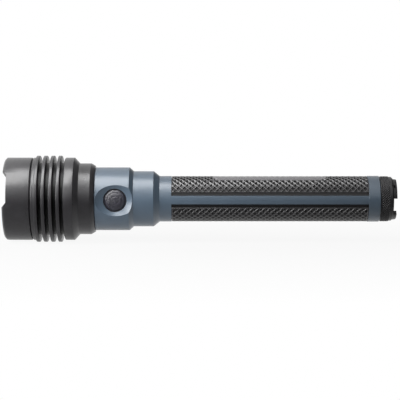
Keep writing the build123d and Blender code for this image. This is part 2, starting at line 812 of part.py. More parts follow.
for index, cell_name in enumerate(["front_cell", "rear_cell"]):
    x_cell = x_cells + index * cell_pitch + cell_terminal_length
    with BuildPart() as cell_can:
        with BuildSketch(Plane.YZ.offset(x_cell)):
            Circle(cell_radius)
        extrude(amount=cell_length)
        fillet(cell_can.edges(), cell_fillet)
    save(cell_can.part, cell_name)
    with BuildPart() as cell_terminal:
        with BuildSketch(Plane.YZ.offset(x_cell)):
            Circle(cell_terminal_radius)
        extrude(amount=-cell_terminal_length)
        chamfer(cell_terminal.edges().group_by(Axis.X)[0], cell_terminal_chamfer)
    save(cell_terminal.part, f"{cell_name}_terminal")

# ---- Tail cap: spigot, knurled band and three lobes round a pocket ----
tail_neck_radius = tail_ring_radius - tail_neck_drop
tail_band_radius = tail_ring_radius - tail_band_drop
tail_step_radius = tail_ring_radius - tail_step_drop
lobe_radius = tail_ring_radius - lobe_drop
x_tail_o_ring = x_barrel_end - seal_setback - 2 * o_ring_wire
with BuildPart() as tail_cap:
    revolve(outline([
        (x_tail_spigot, tail_spigot_bore),
        (x_tail_spigot, tail_spigot_radius),
        (x_tail_cap, tail_spigot_radius),
        (x_tail_cap, tail_neck_radius),
        (x_tail_band, tail_neck_radius),
        (x_tail_band, tail_band_radius - edge_chamfer),
        (x_tail_band + edge_chamfer, tail_band_radius),
        (x_tail_step - edge_chamfer, tail_band_radius),
        (x_tail_step, tail_band_radius - edge_chamfer),
        (x_tail_step, tail_step_radius),
        (x_lobes, tail_step_radius),
        (x_lobes, lobe_radius),
        (x_tail - edge_chamfer, lobe_radius - lobe_taper),
        (x_tail, lobe_radius - lobe_taper - edge_chamfer),
        (x_tail, tail_pocket_radius + edge_chamfer),
        (x_tail - edge_chamfer, tail_pocket_radius),
        (x_tail - tail_pocket_depth, tail_pocket_radius),
        (x_tail - tail_pocket_depth, 0),
        (x_pocket_end, 0),
        (x_pocket_end, tail_spigot_bore),
    ]), axis=Axis.X)
    gap_angle = 360 / lobe_count - lobe_angle
    for lobe in range(lobe_count):
        gap_start = lobe_phase + lobe * 360 / lobe_count + lobe_angle / 2
        gap = sector_outline(
            x_tail - lobe_gap_depth, x_tail + cut_over,
            tail_pocket_radius - cut_over, tail_band_radius + cut_over, gap_start,
        )
        revolve(gap, axis=Axis.X, revolution_arc=gap_angle, mode=Mode.SUBTRACT)
    for lobe in range(lobe_count):
        hole_plane = Plane.XY.rotated((lobe_phase + lobe * 360 / lobe_count, 0, 0))
        with BuildSketch(Plane(origin=(0, 0, 0), x_dir=(1, 0, 0), z_dir=hole_plane.y_dir)):
            with Locations((x_tail - lobe_gap_depth, 0)):
                Rectangle(lanyard_hole, lanyard_hole)
        extrude(amount=tail_band_radius + cut_over, mode=Mode.SUBTRACT)
    thread_grooves(x_tail_spigot, x_tail_o_ring, tail_cap_pitch, tail_spigot_radius)
    seal_groove(x_tail_o_ring, tail_spigot_radius)
save(tail_cap.part, "tail_cap")

with BuildPart() as tail_o_ring:
    revolve(seal_section(x_tail_o_ring, tail_spigot_radius), axis=Axis.X)
save(tail_o_ring.part, "tail_o_ring")

with BuildPart() as tail_contact:
    with BuildSketch(Plane.YZ.offset(x_tail_contact)):
        Circle(tail_spigot_bore - tail_contact_clearance)
    extrude(amount=tail_contact_thickness)
save(tail_contact.part, "tail_contact")

x_tail_retainer = x_tail_contact - tail_retainer_thickness
with BuildPart() as tail_retaining_ring:
    retainer_bore = tail_spigot_bore - tail_retainer_width
    retainer_rim = tail_spigot_bore - tail_retainer_clearance
    retainer = ring_outline(x_tail_retainer, x_tail_contact, retainer_bore, retainer_rim)
    revolve(retainer, axis=Axis.X)
save(tail_retaining_ring.part, "tail_retaining_ring")

spring_start = x_cells_end + cell_end_gap + tail_spring_wire
spring_end = x_tail_contact - tail_spring_wire - tail_spring_end_gap
with BuildPart() as tail_spring:
    spring_height = spring_end - spring_start
    with BuildLine() as coil:
        Helix(spring_height / tail_spring_turns, spring_height, tail_spring_radius,
              center=(spring_start, 0, 0), direction=(1, 0, 0))
    with BuildSketch(Plane(origin=coil.line @ 0, z_dir=coil.line % 0)):
        Circle(tail_spring_wire)
    sweep(path=coil.line, is_frenet=True)
save(tail_spring.part, "tail_spring")

print("overall length", round(overall_length, 2))
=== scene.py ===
# %% [markdown]
# # A firefighter's hand lamp, dressed in Blender
# The engineering model of the lamp is loaded first and is never moved or reshaped: every piece made here
# goes where that model says. All lengths below are written in millimetres, as a machinist would say them,
# and are turned into Blender's metres by one helper. The lamp lies along X, with its head at the low end.

# %% Load the engineering model
import math

import bmesh
import bpy
from mathutils import Matrix, Vector


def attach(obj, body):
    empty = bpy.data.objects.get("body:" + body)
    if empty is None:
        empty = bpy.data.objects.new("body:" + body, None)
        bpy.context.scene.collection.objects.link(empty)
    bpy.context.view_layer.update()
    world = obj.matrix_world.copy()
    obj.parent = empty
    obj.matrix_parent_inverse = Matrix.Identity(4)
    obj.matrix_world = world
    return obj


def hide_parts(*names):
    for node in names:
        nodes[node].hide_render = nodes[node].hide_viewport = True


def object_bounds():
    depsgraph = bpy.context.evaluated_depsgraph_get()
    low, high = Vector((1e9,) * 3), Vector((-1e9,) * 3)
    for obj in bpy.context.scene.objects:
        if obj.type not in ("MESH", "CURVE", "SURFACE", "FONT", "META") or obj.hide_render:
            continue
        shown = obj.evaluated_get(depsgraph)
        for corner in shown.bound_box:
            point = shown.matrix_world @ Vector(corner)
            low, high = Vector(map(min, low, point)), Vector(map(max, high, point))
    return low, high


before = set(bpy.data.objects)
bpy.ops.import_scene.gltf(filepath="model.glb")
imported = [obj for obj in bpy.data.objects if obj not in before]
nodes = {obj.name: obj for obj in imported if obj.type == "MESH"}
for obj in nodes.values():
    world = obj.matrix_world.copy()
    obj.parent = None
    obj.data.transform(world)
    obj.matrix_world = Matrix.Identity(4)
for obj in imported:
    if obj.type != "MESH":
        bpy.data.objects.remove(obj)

cad_box = [list(corner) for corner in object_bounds()]
MM = 0.001
for plain_material in list(bpy.data.materials):
    bpy.data.materials.remove(plain_material)
print("parts in the model:", len(nodes))

# %% [markdown]
# ## Camera
# A long lens flattens perspective, which is how small tools are usually pictured: the far end of the lamp
# stays nearly as tall as it should be next to the head. The camera stands almost a metre away, level with
# the lamp and a few degrees above it, so that the switch faces it squarely.

# %% Place the camera
camera_distance = 0.965
camera_rise = math.radians(3.7)
camera_target = Vector((-0.0004, 0.0, -0.00078))
camera_lens, sensor_width = 139.5, 36.0
camera_back = Vector((0.0, -math.cos(camera_rise), math.sin(camera_rise)))
camera_data = bpy.data.cameras.new("camera")
camera_data.lens = camera_lens
camera_data.sensor_width = sensor_width
camera = bpy.data.objects.new("camera", camera_data)
camera.location = camera_target + camera_distance * camera_back
camera.rotation_euler = camera_back.to_track_quat("Z", "Y").to_euler()
bpy.context.scene.collection.objects.link(camera)
bpy.context.scene.camera = camera
bpy.context.scene.view_settings.view_transform = "Standard"
print("camera at", [round(c, 3) for c in camera.location])

# %% [markdown]
# ## Light
# A satin metal cylinder shows its surroundings as bands along its length, so the surroundings matter more
# than the lamps. A pale backdrop gives the bright rims, and a dark room behind the camera keeps the middle of
# the barrel deep. The world makes both: rays that bounce off gloss see a dome that is white at the back and
# dark in front, while rays that come straight from the camera see plain white.

# %% An empty world, and helpers to fill it
world = bpy.data.worlds.new("studio")
bpy.context.scene.world = world
world.use_nodes = True
sky = world.node_tree
sky.nodes.clear()


def add_node(tree, kind, **values):
    """A new node with some of its settings filled in."""
    node = tree.nodes.new(kind)
    for key, value in values.items():
        setattr(node, key, value)
    return node


def ramp_stops(ramp, stops):
    """Fills a colour ramp with (position, colour) stops."""
    while len(ramp.elements) > 1:
        ramp.elements.remove(ramp.elements[-1])
    ramp.elements[0].position, ramp.elements[0].color = stops[0]
    for position, color in stops[1:]:
        ramp.elements.new(position).color = color


def grey(value):
    return (value, value, value, 1.0)


def world_light(color):
    node = add_node(sky, "ShaderNodeBackground")
    node.inputs["Color"].default_value = color
    return node


def map_range(tree, value, low, high, to_low=0.0, to_high=1.0):
    """Stretches a value from one range to another, and holds it at the ends."""
    node = add_node(tree, "ShaderNodeMapRange")
    ends = {"From Min": low, "From Max": high, "To Min": to_low, "To Max": to_high}
    for socket_name, number in ends.items():
        node.inputs[socket_name].default_value = number
    tree.links.new(value, node.inputs["Value"])
    return node.outputs["Result"]


print("nodes in the new world:", len(sky.nodes))

# %% The world's parts: white for the eye, a studio for the gloss
direction = add_node(sky, "ShaderNodeTexCoord")
axes = add_node(sky, "ShaderNodeSeparateXYZ")
toward_front = add_node(sky, "ShaderNodeMath", operation="MULTIPLY")
toward_front.inputs[1].default_value = -1.0
bearing = add_node(sky, "ShaderNodeMath", operation="ARCTAN2")
dome = add_node(sky, "ShaderNodeValToRGB")
dome_stops = [
    (-180, 1.0), (-100, 0.6), (-50, 0.02), (0, 0.03), (12, 0.35), (22, 0.8), (35, 1.0), (50, 1.0), (95, 0.75),
    (120, 1.0), (180, 1.0),
]
ramp_stops(dome.color_ramp, [((angle + 180) / 360, grey(value)) for angle, value in dome_stops])
sides = add_node(sky, "ShaderNodeValToRGB")
side_stops = [(-1.0, 1.0), (-0.25, 1.0), (0.15, 0.8), (0.4, 0.15), (1.0, 0.1)]
ramp_stops(sides.color_ramp, [((x + 1) / 2, grey(value)) for x, value in side_stops])
studio = add_node(sky, "ShaderNodeVectorMath", operation="MULTIPLY")
seen = world_light(grey(1.0))
reflected = world_light(grey(1.0))
ambient_level = 0.06
ambient = world_light(grey(ambient_level))
rays = add_node(sky, "ShaderNodeLightPath")
gloss_or_soft = add_node(sky, "ShaderNodeMixShader")
seen_or_not = add_node(sky, "ShaderNodeMixShader")
plain_view = add_node(sky, "ShaderNodeMath", operation="MAXIMUM")
sky_out = add_node(sky, "ShaderNodeOutputWorld")
print("world stops:", len(dome_stops), "round the lamp and", len(side_stops), "along it")

# %% Join the world's parts
sky.links.new(direction.outputs["Generated"], axes.inputs[0])
sky.links.new(axes.outputs["Y"], toward_front.inputs[0])
sky.links.new(axes.outputs["Z"], bearing.inputs[0])
sky.links.new(toward_front.outputs[0], bearing.inputs[1])
sky.links.new(map_range(sky, bearing.outputs[0], -math.pi, math.pi), dome.inputs["Fac"])
sky.links.new(map_range(sky, axes.outputs["X"], -1.0, 1.0), sides.inputs["Fac"])
sky.links.new(dome.outputs["Color"], studio.inputs[0])
sky.links.new(sides.outputs["Color"], studio.inputs[1])
sky.links.new(studio.outputs[0], reflected.inputs["Color"])
sky.links.new(rays.outputs["Is Glossy Ray"], gloss_or_soft.inputs["Fac"])
sky.links.new(ambient.outputs[0], gloss_or_soft.inputs[1])
sky.links.new(reflected.outputs[0], gloss_or_soft.inputs[2])
sky.links.new(rays.outputs["Is Camera Ray"], plain_view.inputs[0])
sky.links.new(rays.outputs["Is Transmission Ray"], plain_view.inputs[1])
sky.links.new(plain_view.outputs[0], seen_or_not.inputs["Fac"])
sky.links.new(gloss_or_soft.outputs[0], seen_or_not.inputs[1])
sky.links.new(seen.outputs[0], seen_or_not.inputs[2])
sky.links.new(seen_or_not.outputs[0], sky_out.inputs["Surface"])
print("world nodes:", len(sky.nodes), "with", len(sky.links), "links")

# %% [markdown]
# Four lamps do the rest. A long softbox above the front draws the bright band along the lamp, and shows only
# in gloss. A soft fill does the opposite: it lights dull surfaces and never shows in gloss. A card on the
# left brightens what faces that way, and a spot lifts the head out of the dark.

# %% The softbox, the fill, the card and the spot
def lamp(name, kind, energy, place, aim, **values):
    """A light that looks at a point. Its place and aim are in metres."""
    light = bpy.data.lights.new(name, kind)
    light.energy = energy
    for key, value in values.items():
        setattr(light, key, value)
    holder = bpy.data.objects.new(name, light)
    holder.location = place
    holder.rotation_euler = (Vector(place) - Vector(aim)).to_track_quat("Z", "X").to_euler()
    bpy.context.scene.collection.objects.link(holder)
    return holder


softbox_bearing, softbox_reach = math.radians(67.0), 0.55
softbox_place = (-0.14, -softbox_reach * math.cos(softbox_bearing), softbox_reach * math.sin(softbox_bearing))
softbox = lamp(
    "softbox", "AREA", energy=1.85, place=softbox_place, aim=(-0.03, 0, 0),
    shape="RECTANGLE", size=0.48, size_y=0.28,
)
softbox.visible_diffuse = False
fill = lamp(
    "soft_fill", "AREA", energy=1.6, place=(-0.28, -0.22, 0.38), aim=(-0.08, 0, 0),
    shape="RECTANGLE", size=0.3, size_y=0.3,
)
fill.visible_glossy = False
lamp(
    "left_card", "AREA", energy=0.95, place=(-0.41, -0.2, 0.15), aim=(-0.06, 0, 0),
    shape="RECTANGLE", size=0.25, size_y=0.225,
)
spot = lamp(
    "head_spot", "SPOT", energy=13.0, place=(-0.32, -0.68, 0.15), aim=(-0.08, 0, 0),
    spot_size=math.radians(26), spot_blend=1.0, shadow_soft_size=0.12,
)
spot.visible_glossy = False
print("softbox at", [round(c, 2) for c in softbox_place])

# %% [markdown]
# The floor is a wide pale sheet under the lamp. To the camera it is nearly all its own white, with a little
# real shading left in, so a soft shadow stays where the lamp lies.

# %% The floor
floor_radius, floor_grey = 6.0, 0.5
floor_mesh = bmesh.new()
bmesh.ops.create_circle(floor_mesh, cap_ends=True, segments=64, radius=floor_radius)
bmesh.ops.translate(floor_mesh, verts=floor_mesh.verts, vec=(0, 0, cad_box[0][2]))
floor_data = bpy.data.meshes.new("floor")
floor_mesh.to_mesh(floor_data)
floor = bpy.data.objects.new("floor", floor_data)
bpy.context.scene.collection.objects.link(floor)
print("floor at", round(cad_box[0][2] / MM, 2), "mm")

# %% The floor's finish
floor_finish = bpy.data.materials.new("pale_floor")
floor_finish.use_nodes = True
paper = floor_finish.node_tree
paper_shader = paper.nodes["Principled BSDF"]
paper_shader.inputs["Roughness"].default_value = 1.0
paper_shader.inputs["Specular IOR Level"].default_value = 0.0
paper_shader.inputs["Base Color"].default_value = grey(floor_grey)
paper_place = add_node(paper, "ShaderNodeTexCoord")
paper_axes = add_node(paper, "ShaderNodeSeparateXYZ")
paper.links.new(paper_place.outputs["Object"], paper_axes.inputs[0])
far_off = add_node(paper, "ShaderNodeVectorMath", operation="MULTIPLY")
along_the_lamp = 0.55  # distance counts less this way, so the pale patch is as long as the lamp
far_off.inputs[1].default_value = (along_the_lamp, 1.0, 0.0)
paper.links.new(paper_place.outputs["Object"], far_off.inputs[0])
far_length = add_node(paper, "ShaderNodeVectorMath", operation="LENGTH")
paper.links.new(far_off.outputs[0], far_length.inputs[0])
paper_white = map_range(paper, far_length.outputs["Value"], low=0.05, high=0.3, to_low=0.92)
paper_rays = add_node(paper, "ShaderNodeLightPath")
paper_view = add_node(paper, "ShaderNodeMath", operation="MAXIMUM")
paper_share = add_node(paper, "ShaderNodeMath", operation="MULTIPLY")
paper_glow = add_node(paper, "ShaderNodeEmission")
paper_gleam = add_node(paper, "ShaderNodeEmission")
paper_ramp = add_node(paper, "ShaderNodeValToRGB")
# Painted reflection: rays that bounce off gloss see the floor as a glow that grows from dark in front of the
# lamp to white behind it, not the floor's real shading.
gleam_stops = [(0.0, 0.05), (0.25, 0.1), (0.5, 0.2), (0.65, 0.4), (0.8, 0.75), (1.0, 1.0)]
ramp_stops(paper_ramp.color_ramp, [(place, grey(value)) for place, value in gleam_stops])
gloss_mix = add_node(paper, "ShaderNodeMixShader")
paper_mix = add_node(paper, "ShaderNodeMixShader")
front_to_back = map_range(paper, paper_axes.outputs["Y"], low=-0.08, high=0.02)
paper.links.new(front_to_back, paper_ramp.inputs["Fac"])
paper.links.new(paper_ramp.outputs["Color"], paper_gleam.inputs["Color"])
paper.links.new(paper_rays.outputs["Is Camera Ray"], paper_view.inputs[0])
paper.links.new(paper_rays.outputs["Is Transmission Ray"], paper_view.inputs[1])
paper.links.new(paper_view.outputs[0], paper_share.inputs[0])
paper.links.new(paper_white, paper_share.inputs[1])
paper.links.new(paper_rays.outputs["Is Glossy Ray"], gloss_mix.inputs["Fac"])
paper.links.new(paper_shader.outputs[0], gloss_mix.inputs[1])
paper.links.new(paper_gleam.outputs[0], gloss_mix.inputs[2])
paper.links.new(paper_share.outputs[0], paper_mix.inputs["Fac"])
paper.links.new(gloss_mix.outputs[0], paper_mix.inputs[1])
paper.links.new(paper_glow.outputs[0], paper_mix.inputs[2])
paper.links.new(paper_mix.outputs[0], paper.nodes["Material Output"].inputs["Surface"])
floor_data.materials.append(floor_finish)
print("nodes in the floor's finish:", len(paper.nodes))

# %% [markdown]
# ## One node group for all the surfaces
# Real surfaces are never one flat value. A single node group makes the small differences: a soft mottle of
# the colour, a patchy change of gloss from handling, a fine grain, and the rings that a lathe leaves round
# a turned part. Each material sets its own amounts, and keeps its own shader.

# %% The surface detail group
detail = bpy.data.node_groups.new("surface_detail", "ShaderNodeTree")
detail_inputs = {
    "Color": "NodeSocketColor", "Mottle": "NodeSocketFloat", "Roughness": "NodeSocketFloat",
    "Handling": "NodeSocketFloat", "Grain Scale": "NodeSocketFloat", "Grain": "NodeSocketFloat",
    "Ring Scale": "NodeSocketFloat", "Rings": "NodeSocketFloat",
}
for socket_name, kind in detail_inputs.items():
    detail.interface.new_socket(socket_name, in_out="INPUT", socket_type=kind)
detail_outputs = {"Color": "NodeSocketColor", "Roughness": "NodeSocketFloat", "Height": "NodeSocketFloat"}
for socket_name, kind in detail_outputs.items():
    detail.interface.new_socket(socket_name, in_out="OUTPUT", socket_type=kind)
given = add_node(detail, "NodeGroupInput")
made = add_node(detail, "NodeGroupOutput")
print("the group takes", len(detail_inputs), "values and gives", len(detail_outputs))


# %% Maths and noise nodes
def math_node(tree, operation, first, second):
    """A maths node. Each operand is a socket or a number."""
    node = add_node(tree, "ShaderNodeMath", operation=operation)
    for socket, operand in zip(node.inputs, (first, second)):
        if isinstance(operand, (int, float)):
            socket.default_value = operand
        else:
            tree.links.new(operand, socket)
    return node.outputs[0]


def noise_node(tree, place, scale, octaves=2.0, dimensions="3D"):
    """A noise texture. Its scale is a socket or a number of cells for each metre."""
    node = add_node(tree, "ShaderNodeTexNoise", noise_dimensions=dimensions)
    node.inputs["Detail"].default_value = octaves
    tree.links.new(place, node.inputs["W" if dimensions == "1D" else "Vector"])
    if isinstance(scale, (int, float)):
        node.inputs["Scale"].default_value = scale
    else:
        tree.links.new(scale, node.inputs["Scale"])
    return node.outputs["Fac"]


# %% Fill the group
surface_place = add_node(detail, "ShaderNodeTexCoord").outputs["Object"]
surface_axes = add_node(detail, "ShaderNodeSeparateXYZ")
detail.links.new(surface_place, surface_axes.inputs[0])
cloud = noise_node(detail, surface_place, scale=160.0, octaves=3.0)
smear = noise_node(detail, surface_place, scale=420.0, octaves=4.0)
grain = noise_node(detail, surface_place, given.outputs["Grain Scale"])
rings = noise_node(
    detail, surface_axes.outputs["X"], given.outputs["Ring Scale"], octaves=3.0, dimensions="1D",
)
cloud_swing = math_node(detail, "SUBTRACT", cloud, 0.5)
grain_swing = math_node(detail, "SUBTRACT", grain, 0.5)
tone_swing = math_node(detail, "ADD", cloud_swing, grain_swing)
tone = math_node(detail, "ADD", math_node(detail, "MULTIPLY", tone_swing, given.outputs["Mottle"]), 1.0)
tinted = add_node(detail, "ShaderNodeVectorMath", operation="SCALE")
detail.links.new(given.outputs["Color"], tinted.inputs[0])
detail.links.new(tone, tinted.inputs["Scale"])
detail.links.new(tinted.outputs[0], made.inputs["Color"])
smear_swing = math_node(detail, "SUBTRACT", smear, 0.5)
gloss_swing = math_node(detail, "MULTIPLY", smear_swing, given.outputs["Handling"])
detail.links.new(math_node(detail, "ADD", given.outputs["Roughness"], gloss_swing), made.inputs["Roughness"])
height = math_node(
    detail, "ADD",
    math_node(detail, "MULTIPLY", grain, given.outputs["Grain"]),
    math_node(detail, "MULTIPLY", rings, given.outputs["Rings"]),
)
detail.links.new(height, made.inputs["Height"])
print("nodes in the group:", len(detail.nodes))


# %% A maker of finishes
def new_finish(
    name, color, roughness, mottle=0.15, handling=0.08, grain=(4000, 1.0), rings=(3000, 0.0), depth=0.01,
    **shader_values,
):
    """A Principled shader fed by the surface detail group. Grain and rings are each a scale and an amount."""
    finish = bpy.data.materials.new(name)
    finish.use_nodes = True
    tree = finish.node_tree
    shader = tree.nodes["Principled BSDF"]
    for socket_name, value in shader_values.items():
        shader.inputs[socket_name.replace("_", " ")].default_value = value
    group = add_node(tree, "ShaderNodeGroup", node_tree=detail)
    amounts = {
        "Color": (*color, 1.0), "Mottle": mottle, "Roughness": roughness, "Handling": handling,
        "Grain Scale": grain[0], "Grain": grain[1], "Ring Scale": rings[0], "Rings": rings[1],
    }
    for socket_name, value in amounts.items():
        group.inputs[socket_name].default_value = value
    bump = add_node(tree, "ShaderNodeBump")
    bump.inputs["Distance"].default_value = depth * MM  # the relief is given in millimetres
    tree.links.new(group.outputs["Color"], shader.inputs["Base Color"])
    tree.links.new(group.outputs["Roughness"], shader.inputs["Roughness"])
    tree.links.new(group.outputs["Height"], bump.inputs["Height"])
    tree.links.new(bump.outputs["Normal"], shader.inputs["Normal"])
    return finish


# %% [markdown]
# ## The finishes
# Anodizing grows a hard dyed skin on aluminium. It is not bare metal any more: most of its colour is the
# dye, and its gloss is white, as on a dense ceramic. A Principled shader with a raised IOR gives that, with
# turning rings for the lathe work and a very fine grain for the blasted surface under the dye.

# %% Metals
black_anodized = new_finish(
    "black_anodized", (0.028, 0.027, 0.03), 0.3, mottle=0.7, handling=0.12,
    grain=(1500, 1.0), rings=(5200, 0.4), depth=0.03, IOR=1.87,
)
blue_anodized = new_finish(
    "blue_anodized", (0.098, 0.14, 0.19), 0.33, mottle=0.12, handling=0.05,
    grain=(5200, 0.4), rings=(5200, 0.6), depth=0.01, IOR=1.9,
)
# The tail cap's black is the anodized black with its colour painted darker and less gloss. The darker colour
# is painted shade for the light that falls off towards the tail.
tail_black_shaded = new_finish(
    "tail_black_shaded", (0.018, 0.017, 0.019), 0.38, mottle=0.7, handling=0.12,
    grain=(1500, 1.0), rings=(5200, 0.4), depth=0.03, IOR=1.6,
)
bare_aluminium = new_finish(
    "bare_aluminium", (0.72, 0.72, 0.73), 0.28, rings=(4000, 1.0), depth=0.02, Metallic=1.0,
)
steel = new_finish("steel", (0.55, 0.55, 0.55), 0.25, grain=(3000, 0.6), depth=0.01, Metallic=1.0)
brass = new_finish("brass", (0.7, 0.52, 0.22), 0.25, rings=(4000, 1.0), depth=0.02, Metallic=1.0)
nickel = new_finish("nickel", (0.75, 0.73, 0.7), 0.18, grain=(3000, 0.5), depth=0.008, Metallic=1.0)
mirror_coat = new_finish(
    "mirror_coat", (0.9, 0.9, 0.9), 0.05, mottle=0.02, handling=0.03, grain=(1500, 0.5), depth=0.004,
    Metallic=1.0,
)
print("finishes so far:", len(bpy.data.materials))

# %% [markdown]
# Two finishes change with the distance from the lamp's axis. Down in the cooling fins' grooves the colour is
# painted darker, as painted shade between the fins, and the gloss is lower. A knurled grip is glossier on its
# crests, and its pits are painted darker, as painted shade. A second node group gives that distance as a
# mask, from 0 at a low radius to 1 at a high one. The rubber also has a painted lighter patch, a painted
# sheen where the upper grip has a smooth panel.

# %% A mask by radius
by_radius = bpy.data.node_groups.new("by_radius", "ShaderNodeTree")
for socket_name in ("Low", "High"):
    by_radius.interface.new_socket(socket_name, in_out="INPUT", socket_type="NodeSocketFloat")
by_radius.interface.new_socket("Mask", in_out="OUTPUT", socket_type="NodeSocketFloat")
limits = add_node(by_radius, "NodeGroupInput")
across = add_node(by_radius, "ShaderNodeVectorMath", operation="MULTIPLY")
across.inputs[1].default_value = (0, 1, 1)
by_radius.links.new(add_node(by_radius, "ShaderNodeTexCoord").outputs["Object"], across.inputs[0])
distance = add_node(by_radius, "ShaderNodeVectorMath", operation="LENGTH")
by_radius.links.new(across.outputs[0], distance.inputs[0])
ring = add_node(by_radius, "ShaderNodeMapRange")
by_radius.links.new(distance.outputs["Value"], ring.inputs["Value"])
by_radius.links.new(limits.outputs["Low"], ring.inputs["From Min"])
by_radius.links.new(limits.outputs["High"], ring.inputs["From Max"])
by_radius.links.new(ring.outputs["Result"], add_node(by_radius, "NodeGroupOutput").inputs["Mask"])
print("nodes in the mask:", len(by_radius.nodes))


# %% Helpers that change a finish from place to place
def object_axes(tree):
    """The X, Y and Z of the shaded point, on the lamp's own axes."""
    split = add_node(tree, "ShaderNodeSeparateXYZ")
    tree.links.new(add_node(tree, "ShaderNodeTexCoord").outputs["Object"], split.inputs[0])
    return split.outputs


def scale_base(finish, scale):
    """Multiplies a finish's base colour by a socket's value."""
    tree = finish.node_tree
    base = tree.nodes["Principled BSDF"].inputs["Base Color"]
    shade = add_node(tree, "ShaderNodeVectorMath", operation="SCALE")
    tree.links.new(base.links[0].from_socket, shade.inputs[0])
    tree.links.new(scale, shade.inputs["Scale"])
    tree.links.new(shade.outputs[0], base)


def paint_shade_inward(finish, low, high, painted_shade, gloss, last_x=None):
    """Paints shade into a finish below a radius in mm, up to a last station if one is given. Gloss is in,
    then out.
    """
    tree = finish.node_tree
    mask = add_node(tree, "ShaderNodeGroup", node_tree=by_radius)
    mask.inputs["Low"].default_value, mask.inputs["High"].default_value = low * MM, high * MM
    share = mask.outputs["Mask"]
    if last_x is not None:
        past = map_range(tree, object_axes(tree)["X"], last_x * MM, (last_x + 0.1) * MM)
        share = math_node(tree, "MAXIMUM", share, past)
    # Painted shade: where the mask is low the base colour is scaled down.
    scale_base(finish, map_range(tree, share, 0.0, 1.0, painted_shade, 1.0))
    gloss_level = tree.nodes["Principled BSDF"].inputs["Specular IOR Level"]
    tree.links.new(map_range(tree, share, 0.0, 1.0, *gloss), gloss_level)


def paint_panel_sheen(finish, first_x, last_x, half_width, sheen_gain):
    """Paints a lighter patch inside a box above the axis, given in mm: a painted sheen for the smooth label
    panel.
    """
    tree = finish.node_tree
    place = object_axes(tree)
    middle, half_length = (first_x + last_x) / 2 * MM, (last_x - first_x) / 2 * MM
    away = math_node(tree, "ABSOLUTE", math_node(tree, "SUBTRACT", place["X"], middle), 0.0)
    inside_x = math_node(tree, "LESS_THAN", away, half_length)
    inside_y = math_node(tree, "LESS_THAN", math_node(tree, "ABSOLUTE", place["Y"], 0.0), half_width * MM)
    above = math_node(tree, "GREATER_THAN", place["Z"], 0.0)
    share = math_node(tree, "MULTIPLY", math_node(tree, "MULTIPLY", inside_x, inside_y), above)
    scale_base(finish, map_range(tree, share, 0.0, 1.0, 1.0, sheen_gain))


# %% The fins' finish, with painted shade in the grooves
fin_black_shaded = black_anodized.copy()
fin_black_shaded.name = "fin_black_shaded"
# Painted shade: the grooves between the fins are dimmed to 0.3 of the colour, and made less glossy.
paint_shade_inward(fin_black_shaded, low=24.3, high=25.4, painted_shade=0.3, gloss=(0.12, 0.5), last_x=-84.0)
print("nodes in the fins' finish:", len(fin_black_shaded.node_tree.nodes))

# %% [markdown]
# Rubber takes its look from its relief. Moulded rubber is nearly black, with a broad dull sheen and a fine
# spark-eroded grain that comes from the mould.

# %% Rubber, plastics, glass and the small electrical parts
panel_start, panel_end = 7.95, 77.5
grip_rubber = new_finish(
    "grip_rubber", (0.05, 0.048, 0.052), 0.3, mottle=0.4, handling=0.12,
    grain=(5000, 1.0), depth=0.02, IOR=1.8,
)
# Painted shade: the knurl's pits are dimmed to 0.3 of the colour, and the crests are made glossier.
paint_shade_inward(grip_rubber, low=13.5, high=13.95, painted_shade=0.3, gloss=(0.3, 0.75))
# Painted sheen: the colour inside the label panel is raised 3.4 times, standing in for the light its smooth
# face catches from above.
paint_panel_sheen(grip_rubber, panel_start, panel_end, half_width=7.3, sheen_gain=3.4)
button_rubber = new_finish(
    "button_rubber", (0.027, 0.026, 0.038), 0.4, mottle=1.2, handling=0.3,
    grain=(1000, 1.0), depth=0.35, IOR=2.2,
)
seal_rubber = new_finish("seal_rubber", (0.015, 0.015, 0.015), 0.4, grain=(3000, 0.5), depth=0.01)
lens_glass = new_finish(
    "lens_glass", (0.97, 0.99, 1.0), 0.015, mottle=0.0, handling=0.02, grain=(300, 0.2), depth=0.001,
    Transmission_Weight=1.0, IOR=1.45,
)
white_plastic = new_finish("white_plastic", (0.8, 0.8, 0.78), 0.4, mottle=0.04)
phosphor_dome = new_finish(
    "phosphor_dome", (0.93, 0.72, 0.16), 0.12, mottle=0.1, handling=0.03, depth=0.002, Coat_Weight=0.6,
)
lead_insulation = new_finish("lead_insulation", (0.45, 0.03, 0.03), 0.45)
board_green = new_finish("board_green", (0.03, 0.16, 0.07), 0.35, mottle=0.5, grain=(1800, 1.0))
ferrite = new_finish("ferrite", (0.06, 0.06, 0.065), 0.6, mottle=0.4, grain=(2500, 1.0), depth=0.03)
chip_black = new_finish("chip_black", (0.02, 0.02, 0.02), 0.55, mottle=0.2)
capacitor_tan = new_finish("capacitor_tan", (0.42, 0.28, 0.16), 0.5, mottle=0.2)
cell_can = new_finish("cell_can", (0.1, 0.3, 0.42), 0.3, mottle=0.06, handling=0.1)
print("finishes:", len(bpy.data.materials))

